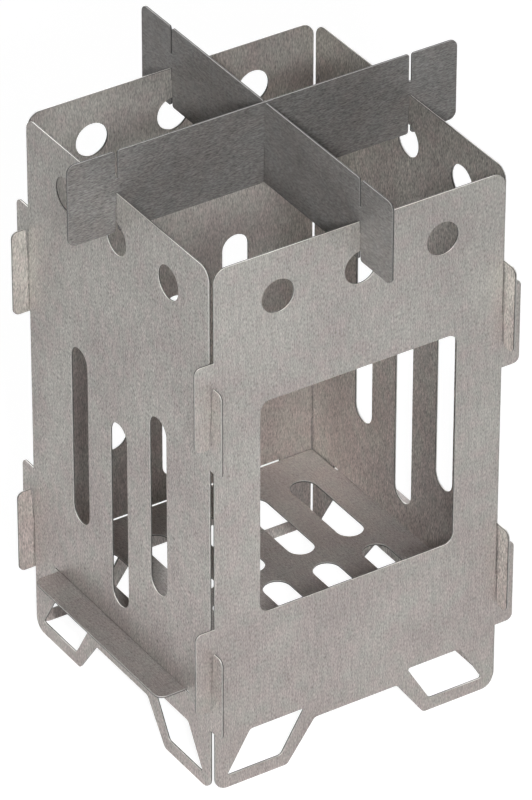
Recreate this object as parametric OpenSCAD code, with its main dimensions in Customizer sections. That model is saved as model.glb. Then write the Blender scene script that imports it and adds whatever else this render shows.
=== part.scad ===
// Slot-together pocket wood stove of steel sheet: four hooked wall panels, a slotted
// floor plate and two crossed plates that carry the pot. Millimetres, Z up, origin on
// the ground at the middle of the square box, window side towards -Y.

/* [Box] */
// Outside width of the square box, face to face
box_w = 120; // [112:1:140]
// Height of the wall panels, from the ground to the top edge
panel_h = 215.5; // [205:0.5:250]
// Thickness of the steel sheet
sheet_t = 0.8; // [0.6:0.1:1.2]
// Radius of the top corners of the wall panels
panel_r = 5; // [2:0.5:8]
// Gap between a panel's side edge and the inner face of its neighbour
side_gap = 0.5; // [0.3:0.1:0.8]

/* [Corner hooks] */
// How far a hook stands out past the neighbour's outer face
hook_reach = 6.4; // [4.5:0.1:9]
// Height of a hook
hook_h = 34; // [28:0.5:40]
// Bottom of the lower hook on a panel's left edge
hook_low_z = 35.5; // [31:0.5:45]
// Bottom of the upper hook on a panel's left edge
hook_up_z = 145; // [138:0.5:155]
// How much lower the hooks on the right edge sit
hook_drop = 9.2; // [6:0.2:12]
// Radius of the outer corners of a hook
hook_r = 2.5; // [1:0.25:3]
// Radius at the mouth of a hook's slit
mouth_r = 0.8; // [0.3:0.1:1]
// Clearance between a slit's closed end and the sheet it holds
slit_play = 0.15; // [0.1:0.05:0.4]
// How much a slit widens from its closed end to its mouth
slit_flare = 0.7; // [0.2:0.1:1.2]

/* [Vent holes] */
// Diameter of the round holes under the top edge
vent_d = 13; // [8:0.5:15]
// Distance from the middle hole to an outer hole
vent_pitch = 33.3; // [28:0.1:36]
// Distance from the top edge to the hole centres
vent_drop = 18.2; // [15:0.2:22]

/* [Wall slots] */
// Width of the upright slots
slot_w = 11; // [7:0.5:14]
// Distance between neighbouring upright slots
slot_pitch = 25.8; // [22:0.2:29]
// Lowest point of the two outer slots
outer_slot_z = 64.7; // [50:0.5:72]
// Length of the two outer slots
outer_slot_l = 73.6; // [50:0.5:85]
// Lowest point of the middle slot
mid_slot_z = 44.3; // [42:0.5:60]
// Length of the middle slot
mid_slot_l = 77; // [50:0.5:90]

/* [Fuel window] */
// Width of the window in the front panel
window_w = 80.4; // [60:0.5:92]
// Height of the window
window_h = 87.4; // [60:0.5:95]
// Lower edge of the window above the ground
window_z = 69.2; // [50:0.5:74]
// Corner radius of the window
window_r = 4; // [1:0.5:10]

/* [Feet] */
// Height of the panel's lower edge between its feet
foot_h = 16; // [12:0.5:20]
// Width of a foot on the ground
foot_w = 29.9; // [27:0.1:34]
// How far the inner edge of a foot leans over its height
foot_lean = 11.5; // [8:0.5:13]
// Radius of the outer corner of a foot
foot_r = 5; // [2:0.5:6]
// Radius of the inner corners of a foot
foot_inner_r = 2.2; // [1:0.1:3]
// Width of the steel bar under the opening in a foot
foot_bar = 5; // [4:0.25:7]
// Width of the steel between the opening and the side edge
foot_side = 4.7; // [4:0.1:6]
// Width of the opening in a foot
foot_open_w = 22.6; // [16:0.2:23]
// Height of the opening in a foot
foot_open_h = 16.6; // [10:0.2:18]
// How far the opening leans over its height
foot_open_lean = 9.8; // [7:0.2:12]
// Radius of the wide-angled corners of the opening
foot_open_r = 2; // [0.8:0.2:2.4]
// Radius of the sharp corners of the opening
foot_tip_r = 0.8; // [0.4:0.1:1.2]

/* [Floor plate] */
// Underside of the floor plate above the ground
floor_z = 33.4; // [31:0.2:36]
// Gap all round between the floor plate and the walls
floor_gap = 0.3; // [0.2:0.05:0.6]
// Width of the tongues that pass through the side panels
tongue_w = 84.6; // [60:0.2:86]
// How far a tongue stands out past the side panel
tongue_reach = 10.7; // [6:0.1:16]
// Corner radius of a tongue
tongue_r = 3.5; // [1:0.5:5]
// Width of the slot for the tongue in a side panel
tongue_slot_w = 90; // [88:0.5:96]
// Height left free above the tongue in its slot
tongue_play = 0.4; // [0.3:0.1:1.2]
// Number of grate slots side by side
grate_columns = 5; // [3:1:5]
// Distance between neighbouring grate slots
grate_pitch = 21.2; // [18:0.2:22]
// Width of a grate slot
grate_slot_w = 10.6; // [6:0.2:12]
// Length of a grate slot
grate_slot_l = 40.4; // [30:0.2:44]
// Width of the bar between the two rows of grate slots
grate_bar = 7.4; // [5:0.2:12]

/* [Pot plates] */
// Length of a pot plate
plate_l = 158; // [146:1:180]
// Height of a pot plate
plate_h = 32; // [28:0.5:40]
// Corner radius of a pot plate
plate_r = 3; // [1:0.5:5]
// Depth of the notches above and below each wall
notch_d = 11; // [8:0.5:12]
// Width of a notch over the sheet thickness
notch_play = 0.4; // [0.3:0.1:0.8]
// Radius at the mouth of a notch
notch_r = 1; // [0.3:0.1:1.5]
// Depth of the seat slit in the top edge of each wall
seat_d = 4.5; // [3:0.5:7]
// Clearance between the two plates where they cross
lap_gap = 0.2; // [0.1:0.1:0.6]

/* [Hidden] */

$fn = 64;
half_w = box_w / 2;
inner_half = half_w - sheet_t;
wall_plane = half_w - sheet_t / 2;
edge_x = inner_half - side_gap;
hook_x = half_w + hook_reach;
slit_end_x = half_w + slit_play;
slit_mouth_x = slit_end_x + slit_flare;
hook_overlap = hook_h - hook_drop;
// Height over a left hook's foot where the two crossing slits meet
lap_rise = hook_overlap / 2;
vent_z = panel_h - vent_drop;
notch_w = sheet_t + notch_play;
plate_z = panel_h - seat_d - notch_d;
plate_end = plate_l / 2;
lap_end = (plate_h - lap_gap) / 2;
floor_half = inner_half - floor_gap;
tongue_x = half_w + tongue_reach;
tongue_y = tongue_w / 2;
window_x = window_w / 2;
window_top = window_z + window_h;
cut_past = 1;
quarter_turn = 90;
half_turn = 180;
panel_steel = [0.72, 0.71, 0.69];
plate_steel = [0.58, 0.58, 0.57];
floor_steel = [0.64, 0.63, 0.61];

// Outline from corners [x, y, radius], listed counter-clockwise, with true arcs
function unit(v) = v / norm(v);
function to_prev(c, i) = unit(flat(c[(i + len(c) - 1) % len(c)]) - flat(c[i]));
function to_next(c, i) = unit(flat(c[(i + 1) % len(c)]) - flat(c[i]));
function flat(p) = [p[0], p[1]];
function half_angle(c, i) = acos(to_prev(c, i) * to_next(c, i)) / 2;
function arc_run(c, i) = c[i][2] / tan(half_angle(c, i));
function arc_centre(c, i) = flat(c[i])
    + unit(to_prev(c, i) + to_next(c, i)) * c[i][2] / sin(half_angle(c, i));
function convex(c, i) = cross(to_prev(c, i), to_next(c, i)) < 0;

module outline(c) {
    last = len(c) - 1;
    difference() {
        union() {
            polygon([for (i = [0 : last]) each c[i][2] > 0
                ? [flat(c[i]) + to_prev(c, i) * arc_run(c, i),
                   flat(c[i]) + to_next(c, i) * arc_run(c, i)]
                : [flat(c[i])]]);
            for (i = [0 : last]) if (c[i][2] > 0 && convex(c, i))
                translate(arc_centre(c, i)) circle(c[i][2]);
        }
        for (i = [0 : last]) if (c[i][2] > 0 && !convex(c, i))
            translate(arc_centre(c, i)) circle(c[i][2]);
    }
}

// Corners of a right-edge hook, from its foot upwards; its slit opens at the top
function right_hook(z) = [
    [edge_x, z, 0], [hook_x, z, hook_r], [hook_x, z + hook_h, hook_r],
    [slit_mouth_x, z + hook_h, mouth_r], [slit_end_x, z + hook_h - lap_rise, 0],
    [edge_x, z + hook_h - lap_rise, 0]];

// Corners of a left-edge hook, from its top downwards; its slit opens at the foot
function left_hook(z) = [
    [-edge_x, z + hook_h, 0], [-hook_x, z + hook_h, hook_r], [-hook_x, z, hook_r],
    [-slit_mouth_x, z, mouth_r], [-slit_end_x, z + lap_rise, 0],
    [-edge_x, z + lap_rise, 0]];

foot_in = edge_x - foot_w;
foot_top = foot_in - foot_lean;
wall_corners = concat(
    [[foot_top, foot_h, foot_inner_r], [foot_in, 0, foot_inner_r], [edge_x, 0, foot_r]],
    right_hook(hook_low_z - hook_drop), right_hook(hook_up_z - hook_drop),
    [[edge_x, panel_h, panel_r], [-edge_x, panel_h, panel_r]],
    left_hook(hook_up_z), left_hook(hook_low_z),
    [[-edge_x, 0, foot_r], [-foot_in, 0, foot_inner_r], [-foot_top, foot_h, foot_inner_r]]);

open_x = edge_x - foot_side;
foot_opening = [
    [open_x - foot_open_w, foot_bar, foot_open_r],
    [open_x, foot_bar, foot_tip_r],
    [open_x - foot_open_lean, foot_bar + foot_open_h, foot_open_r],
    [open_x - foot_open_w - foot_open_lean, foot_bar + foot_open_h, foot_tip_r]];

window_corners = [
    [-window_x, window_z, window_r], [window_x, window_z, window_r],
    [window_x, window_top, window_r], [-window_x, window_top, window_r]];

floor_corners = [
    [tongue_x, -tongue_y, tongue_r], [tongue_x, tongue_y, tongue_r], [floor_half, tongue_y, 0],
    [floor_half, floor_half, 0], [-floor_half, floor_half, 0], [-floor_half, tongue_y, 0],
    [-tongue_x, tongue_y, tongue_r], [-tongue_x, -tongue_y, tongue_r], [-floor_half, -tongue_y, 0],
    [-floor_half, -floor_half, 0], [floor_half, -floor_half, 0], [floor_half, -tongue_y, 0]];

// Corners of a notch at x in a pot plate, cut d deep from its lower or its upper edge
function notch_below(x, d) = [[x - notch_w / 2, 0, notch_r], [x - notch_w / 2, d, 0],
    [x + notch_w / 2, d, 0], [x + notch_w / 2, 0, notch_r]];
function notch_above(x, d) = [
    [x + notch_w / 2, plate_h, notch_r], [x + notch_w / 2, plate_h - d, 0],
    [x - notch_w / 2, plate_h - d, 0], [x - notch_w / 2, plate_h, notch_r]];

plate_corners = concat(
    [[-plate_end, 0, plate_r]], notch_below(-wall_plane, notch_d), notch_below(wall_plane, notch_d),
    [[plate_end, 0, plate_r], [plate_end, plate_h, plate_r]],
    notch_above(wall_plane, notch_d), notch_above(0, plate_h - lap_end),
    notch_above(-wall_plane, notch_d), [[-plate_end, plate_h, plate_r]]);

// A sheet drawn in x and z, standing with its outer face on the -Y side of the box
module stand_sheet() {
    translate([0, -inner_half, 0]) rotate([quarter_turn, 0, 0])
        linear_extrude(sheet_t) children();
}

// The drill for one round vent hole
module vent(x) {
    translate([x, cut_past - inner_half, vent_z]) rotate([quarter_turn, 0, 0])
        cylinder(h = sheet_t + cut_past * 2, d = vent_d);
}

// What all four walls share: outline, feet, hooks, vents and the seat slit for a pot
// plate. The children are the cuts of one kind of wall.
module wall() {
    difference() {
        stand_sheet() difference() {
            outline(wall_corners);
            outline(foot_opening);
            mirror([1, 0]) outline(foot_opening);
            translate([-notch_w / 2, panel_h - seat_d]) square([notch_w, seat_d + cut_past]);
            children();
        }
        for (x = [-vent_pitch, 0, vent_pitch]) vent(x);
    }
}

// A round-ended slot that runs up from its lowest point
module long_slot(w, l) {
    translate([0, w / 2]) circle(d = w);
    translate([0, l - w / 2]) circle(d = w);
    translate([-w / 2, w / 2]) square([w, l - w]);
}

// The three walls that let air in and hold the floor plate are one and the same cutting
module slotted_wall() {
    wall() {
        for (x = [-slot_pitch, slot_pitch])
            translate([x, outer_slot_z]) long_slot(slot_w, outer_slot_l);
        translate([0, mid_slot_z]) long_slot(slot_w, mid_slot_l);
        translate([-tongue_slot_w / 2, floor_z])
            square([tongue_slot_w, sheet_t + tongue_play]);
    }
}

module front_panel() {
    color(panel_steel) wall() outline(window_corners);
}

module right_panel() {
    color(panel_steel) rotate([0, 0, quarter_turn]) slotted_wall();
}

module back_panel() {
    color(panel_steel) rotate([0, 0, half_turn]) slotted_wall();
}

module left_panel() {
    color(panel_steel) rotate([0, 0, -quarter_turn]) slotted_wall();
}

// Lies on the lower edges of the tongue slots in the left and right panels
module floor_grate() {
    color(floor_steel) translate([0, 0, floor_z]) linear_extrude(sheet_t) difference() {
        outline(floor_corners);
        for (i = [0 : grate_columns - 1], row = [0, 1])
            translate([(i - (grate_columns - 1) / 2) * grate_pitch, 0]) mirror([0, row])
                translate([0, grate_bar / 2]) long_slot(grate_slot_w, grate_slot_l);
    }
}

// Both pot plates are one and the same cutting; this is the way up with the lap slot open
module pot_plate() {
    translate([0, sheet_t / 2, 0]) rotate([quarter_turn, 0, 0])
        linear_extrude(sheet_t) outline(plate_corners);
}

// Runs from the front panel to the back panel
module lower_pot_plate() {
    color(plate_steel) translate([0, 0, plate_z]) rotate([0, 0, quarter_turn]) pot_plate();
}

// Turned over, it drops from above over the lower plate, from the left to the right panel
module upper_pot_plate() {
    color(plate_steel) translate([0, 0, plate_z + plate_h]) mirror([0, 0, 1]) pot_plate();
}

front_panel();
right_panel();
back_panel();
left_panel();
floor_grate();
lower_pot_plate();
upper_pot_plate();
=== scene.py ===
# Slot-together twig stove of thin steel sheet: four hooked walls, a slotted floor plate
# and two crossed pot plates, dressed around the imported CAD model. Metres, Z up.
import math

import bpy
from mathutils import Matrix, Vector

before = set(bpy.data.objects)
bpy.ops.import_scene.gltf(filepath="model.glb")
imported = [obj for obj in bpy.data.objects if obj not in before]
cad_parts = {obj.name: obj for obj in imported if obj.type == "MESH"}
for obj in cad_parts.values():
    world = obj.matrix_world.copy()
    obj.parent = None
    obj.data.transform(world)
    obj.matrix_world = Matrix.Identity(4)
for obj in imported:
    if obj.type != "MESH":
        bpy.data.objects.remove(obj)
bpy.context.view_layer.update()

# --- Front wall ---------------------------------------------------------------------
# The wall with the fuel window: one sheet of stainless steel, laser cut, its broad
# faces ground to a short upright grain and its cut edges eased by tumbling. It stands
# on its own two feet and hooks into the side walls.
MM = 0.001
X, Y, Z = 0, 1, 2


class Wire:
    """A shader socket that takes part in plain sums; each sum adds its Math node."""

    def __init__(self, finish, socket):
        self.finish, self.socket = finish, socket

    def _math(self, operation, *values):
        return self.finish.node("ShaderNodeMath", {"operation": operation},
                                dict(enumerate(values)))

    def __add__(self, other):
        return self._math("ADD", self, other)

    def __sub__(self, other):
        return self._math("SUBTRACT", self, other)

    def __rsub__(self, other):
        return self._math("SUBTRACT", other, self)

    def __mul__(self, other):
        return self._math("MULTIPLY", self, other)

    def __neg__(self):
        return self._math("SUBTRACT", 0.0, self)

    def __abs__(self):
        return self._math("ABSOLUTE", self)

    def __gt__(self, other):
        return self._math("GREATER_THAN", self, other)

    def __lt__(self, other):
        return self._math("LESS_THAN", self, other)

    __radd__, __rmul__ = __add__, __mul__

    def larger(self, other):
        """The larger of two values."""
        return self._math("MAXIMUM", self, other)

    def part(self, output):
        """Another output of the same node, by name or number."""
        return Wire(self.finish, self.socket.node.outputs[output])


class Finish:
    """The nodes of one finish, on a material or on the room around the stove."""

    def __init__(self, owner):
        owner.use_nodes = True
        self.owner, self.tree = owner, owner.node_tree
        self.tree.nodes.clear()

    def node(self, kind, settings, sockets, output=0):
        """Adds a node: its settings first, then the values or wires of its sockets."""
        made = self.tree.nodes.new(kind)
        for key, value in settings.items():
            setattr(made, key, value)
        for key, value in sockets.items():
            if isinstance(value, Wire):
                self.tree.links.new(value.socket, made.inputs[key])
            elif isinstance(value, tuple) and made.inputs[key].type == "RGBA":
                made.inputs[key].default_value = (*value, 1.0)
            else:
                made.inputs[key].default_value = value
        return Wire(self, made.outputs[output]) if made.outputs else None

    def blend(self, share, low, high):
        """Mixes two colours by a share."""
        return self.node("ShaderNodeMix", {"data_type": "RGBA"}, {0: share, 6: low, 7: high}, 2)

    def scaled(self, colour, by):
        """A colour made lighter or darker."""
        return self.node("ShaderNodeVectorMath", {"operation": "SCALE"}, {0: colour, "Scale": by})

    def between(self, value, low, high, low_to=0.0, high_to=1.0):
        """Spreads a value's range over another, stopped at both ends."""
        return self.node("ShaderNodeMapRange", {"clamp": True},
                         {0: value, 1: low, 2: high, 3: low_to, 4: high_to})

    def noise(self, place, scale=1.0, detail=1.0):
        return self.node("ShaderNodeTexNoise", {"noise_dimensions": "3D"}, {
            "Vector": place, "Scale": scale, "Detail": detail, "Roughness": 0.5})


def tinted(level, tint):
    """A grey of that level with a slight tint."""
    return tuple(level * share for share in tint)


def ground_steel(name, across, grain, warm, cool, cut, rim_highlight, metal, rough, speck, *, brushed=0.0,
                 brushed_turn=0.0, middle=0.0, inner_painted_light=None, inner_rough=None, hooks_from=0.0,
                 hook_painted_light=1.0, cooler_up=0.0):
    """Steel sheet whose thickness runs along the axis `across` and its grain along `grain`.

    Patches of a warm and a cool grey drift over its faces. The cut edges are dark, but for
    their outer half, which carries a painted highlight about as bright as the faces, and
    the edges that look up are painted brighter still. `middle` is how far the sheet's
    middle plane lies from the stove's.
    """
    steel = Finish(bpy.data.materials.new(name))
    coords = steel.node("ShaderNodeTexCoord", {}, {}, "Object")
    normal = steel.node("ShaderNodeSeparateXYZ", {}, {0: coords.part("Normal")})
    place = steel.node("ShaderNodeSeparateXYZ", {}, {0: coords})

    def grains(length, width):
        """Noise drawn out to grains of that length and width."""
        size = [1 / width] * 3
        size[grain] = 1 / length
        return steel.noise(steel.node("ShaderNodeVectorMath", {"operation": "MULTIPLY"},
                                      {0: coords, 1: tuple(size)}))

    # The ground faces: short and long grains, patches and a drifting tint.
    fine = grains(1.2 * MM, 0.3 * MM)
    grained = fine * 0.7 + grains(5 * MM, 0.35 * MM) * 0.3
    patch = steel.noise(coords, 1 / (26 * MM), 2.0)
    tint = steel.noise(coords, 1 / (6 * MM), 2.0)
    coolness = tint * 0.6 + patch * 0.4 + (place.part(Z) - 0.1) * cooler_up
    shade = (steel.between(grained, 0.25, 0.75, 1.0 - speck, 1.0 + speck)
             * steel.between(patch, 0.3, 0.7, 0.92, 1.08))
    roughness = steel.between(grained, 0.3, 0.7, rough - 0.05, rough + 0.05)
    # Painted light: the inside faces are coloured lighter than the outer ones, and made a little
    # smoother.
    if inner_painted_light:
        inside = steel.between(normal.part(across) * place.part(across), 0.01, -0.01)
        # Painted light: the hooks past the corners are coloured a little lighter.
        on_hook = abs(place.part(Y if across == X else X)) > hooks_from
        shade = shade * (inside * (inner_painted_light - 1.0) + 1.0) * (on_hook * (hook_painted_light - 1.0) + 1.0)
        roughness = roughness + inside * (inner_rough - rough)
    face = steel.scaled(steel.blend(steel.between(coolness, 0.4, 0.6), warm, cool), shade)

    # The cut edges: striped across by the laser, dark, with a painted highlight on their outer
    # half and a brighter painted highlight where they look up.
    outward = abs(place.part(across)) - middle if middle else -place.part(across)
    striped = steel.between(grains(2 * MM, 0.25 * MM), 0.3, 0.7, 0.8, 1.2)
    edge = steel.scaled(steel.blend(steel.between(outward, -0.1 * MM, 0.08 * MM), cut, rim_highlight),
                        striped * steel.between(normal.part(Z), 0.5, 0.9, 1.0, 2.2))

    is_cut = steel.between(abs(normal.part(across)), 0.8, 0.6)
    cut_metal = 0.35
    steel.node("ShaderNodeOutputMaterial", {}, {"Surface": steel.node(
        "ShaderNodeBsdfPrincipled", {}, {
            "Base Color": steel.blend(is_cut, face, edge),
            "Metallic": is_cut * (cut_metal - metal) + metal,
            "Roughness": roughness,
            "Anisotropic": brushed,
            "Anisotropic Rotation": brushed_turn,
            "Normal": steel.node("ShaderNodeBump", {}, {
                "Strength": 0.3, "Distance": 0.004 * MM, "Height": fine}),
        })})
    return steel.owner


def finish_sheet(piece, finish):
    """Gives a piece its steel and rounds its cut edges as tumbling does."""
    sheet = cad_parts[piece]
    sheet.data.materials.clear()
    sheet.data.materials.append(finish)
    weld = sheet.modifiers.new("weld", "WELD")
    weld.merge_threshold = 0.002 * MM
    eased = sheet.modifiers.new("eased edges", "BEVEL")
    eased.width = 0.06 * MM
    eased.segments = 2
    eased.limit_method = "ANGLE"
    eased.angle_limit = math.radians(40)
    eased.use_clamp_overlap = False
    eased.harden_normals = True


# The second colour is a painted highlight on the outer half of the cut edges.
cut_steel, painted_rim_highlight = (0.06, 0.057, 0.054), (0.42, 0.41, 0.39)
wall_level = 0.44
wall_look = {
    "warm": tinted(wall_level, (1.095, 0.985, 0.945)),
    "cool": tinted(wall_level, (1.03, 1.0, 0.935)),
    "cut": cut_steel,
    "rim_highlight": painted_rim_highlight,
    "metal": 0.8,
    "rough": 0.45,
    "brushed": 0.1,
    "middle": 59.6 * MM,
    # painted light: the inside faces coloured a quarter lighter
    "inner_painted_light": 1.25,
    "inner_rough": 0.4,
    "hooks_from": 59.5 * MM,
    # painted light: the hooks coloured a little lighter
    "hook_painted_light": 1.04,
    "cooler_up": 0.6,
}
facing_steel = ground_steel("wall steel, front and back", Y, Z, speck=0.52, **wall_look)
finish_sheet("front_panel", facing_steel)

# --- The three slotted walls -----------------------------------------------------------
# Right, back and left walls are one and the same cutting of the same sheet, with three
# upright air slots and a level one for the floor's tongue. They are hooked into each
# other and into the front wall at the corners.
side_steel = ground_steel("wall steel, left and right", X, Z, speck=0.76, **wall_look)
finish_sheet("back_panel", facing_steel)
finish_sheet("left_panel", side_steel)
finish_sheet("right_panel", side_steel)

# --- Floor plate -----------------------------------------------------------------------
# The slotted plate that the fire lies on, cut from the same sheet with its grain from
# front to back. Its two tongues lie in the level slots of the left and right walls.
floor_level = 0.36
floor_steel = ground_steel("floor steel", Z, Y, warm=tinted(floor_level, (1.09, 0.98, 0.94)),
                           cool=tinted(floor_level, (1.05, 1.0, 0.95)), cut=cut_steel,
                           rim_highlight=painted_rim_highlight, metal=0.5, rough=0.371, speck=0.5, middle=33.8 * MM)
finish_sheet("floor_grate", floor_steel)

# --- Pot plates ------------------------------------------------------------------------
# Two plates of darker, smoother sheet, half-lapped in a cross and seated in the slits of
# the walls; their grain runs along their length. They lift straight off.
plate_level = 0.2
plate_look = {
    "warm": tinted(plate_level, (1.06, 1.0, 0.96)),
    "cool": tinted(plate_level, (1.02, 1.0, 0.97)),
    "cut": (0.04, 0.04, 0.04),
    # painted highlight on the outer half of the plates' cut edges
    "rim_highlight": (0.2, 0.195, 0.19),
    "metal": 0.5,
    "rough": 0.513,
    "speck": 0.6,
    "brushed": 0.1,
    "brushed_turn": 0.25,
}
finish_sheet("lower_pot_plate",
             ground_steel("pot plate steel, front to back", X, Y, **plate_look))
finish_sheet("upper_pot_plate",
             ground_steel("pot plate steel, left to right", Y, X, **plate_look))

# --- Table and backdrop ----------------------------------------------------------------
# A plain white table under the stove, which runs on to the white of the background. It
# glows a little to the camera, so that it stays white and still takes a faint shadow.
bpy.ops.mesh.primitive_plane_add(size=12.0, location=(0, 0, 0))
table = bpy.context.object
table.name = "table"
white = (1.0, 1.0, 1.0)
table_glow, table_glow_strength, table_mirrored = 0.75, 1.25, 0.1
cover = Finish(bpy.data.materials.new("white table"))
paths = cover.node("ShaderNodeLightPath", {}, {})
glowing = (paths.part("Is Camera Ray").larger(paths.part("Is Transmission Ray"))
           * table_glow).larger(paths.part("Is Glossy Ray") * table_mirrored)
cover.node("ShaderNodeOutputMaterial", {}, {"Surface": cover.node("ShaderNodeMixShader", {}, {
    0: glowing,
    1: cover.node("ShaderNodeBsdfDiffuse", {}, {"Color": (0.85, 0.85, 0.85)}),
    2: cover.node("ShaderNodeEmission", {}, {"Color": white, "Strength": table_glow_strength}),
})})
table.data.materials.append(cover.owner)

room_level, room_mirrored = 0.01, 0.1
studio = bpy.data.worlds.new("studio")
bpy.context.scene.world = studio
room = Finish(studio)
paths = room.node("ShaderNodeLightPath", {}, {})
seen = (paths.part("Is Camera Ray").larger(paths.part("Is Transmission Ray"))
        .larger(paths.part("Is Glossy Ray") * room_mirrored))
room.node("ShaderNodeOutputWorld", {}, {"Surface": room.node("ShaderNodeMixShader", {}, {
    0: seen,
    1: room.node("ShaderNodeBackground", {}, {"Color": white, "Strength": room_level}),
    2: room.node("ShaderNodeBackground", {}, {"Color": white, "Strength": 1.0}),
})})

# --- Lamps ------------------------------------------------------------------------------
# A small main lamp in front, up and to the left, which throws the front wall's shadow on
# the back wall, a flat one from the left, and three weak ones that open up the shadows.


def soft_box(name, turn, tilt, reach, aim_height, size, watts):
    """A square lamp, so far from the stove, turned from its front and tilted up."""
    lamp = bpy.data.lights.new(name, "AREA")
    lamp.shape = "SQUARE"
    lamp.size = size
    lamp.energy = watts
    holder = bpy.data.objects.new(name, lamp)
    bpy.context.scene.collection.objects.link(holder)
    place = Matrix.Rotation(math.radians(turn), 3, "Z") @ (
        Matrix.Rotation(math.radians(-tilt), 3, "X") @ Vector((0, -reach, 0)))
    holder.location = place
    looks = Vector((0, 0, aim_height)) - place
    holder.rotation_euler = looks.to_track_quat("-Z", "Y").to_euler()


soft_box("front light", turn=-28.0, tilt=35.8, reach=1.2, aim_height=0.1, size=0.12, watts=10.8)
soft_box("left light", turn=-76.0, tilt=14.0, reach=2.6, aim_height=0.1, size=0.4, watts=22.0)
soft_box("low light", turn=-45.0, tilt=2.0, reach=0.7, aim_height=0.05, size=0.3, watts=1.5)
soft_box("top light", turn=-30.0, tilt=80.0, reach=2.0, aim_height=0.1, size=0.4, watts=2.0)
soft_box("back light", turn=150.0, tilt=22.0, reach=2.6, aim_height=0.1, size=0.8, watts=17.0)

# --- Camera ------------------------------------------------------------------------------
# The photograph's own viewpoint, worked out from the corners of the sheets: from the
# front left, looking down, far off with a long lens.
aim = Vector((0.448, -0.441, 110.0)) * MM
turn, tilt, roll = (math.radians(angle) for angle in (-32.836, 33.619, 0.115))
distance = 2279.073 * MM
focal_pixels, picture_pixels = 6494.777, 532
look = Vector((-math.sin(turn) * math.cos(tilt), math.cos(turn) * math.cos(tilt), -math.sin(tilt)))
level = Vector((math.cos(turn), math.sin(turn), 0))
upward = level.cross(look)
side = level * math.cos(roll) + upward * math.sin(roll)
top = upward * math.cos(roll) - level * math.sin(roll)
lens = bpy.data.cameras.new("camera")
lens.sensor_fit = "HORIZONTAL"
lens.sensor_width = 36.0
lens.lens = lens.sensor_width * focal_pixels / picture_pixels
lens.clip_start, lens.clip_end = 0.05, 50.0
camera = bpy.data.objects.new("camera", lens)
bpy.context.scene.collection.objects.link(camera)
camera.matrix_world = Matrix.Translation(aim - look * distance) @ Matrix(
    (side, top, -look)).transposed().to_4x4()
bpy.context.scene.camera = camera
bpy.context.scene.view_settings.view_transform = "Standard"
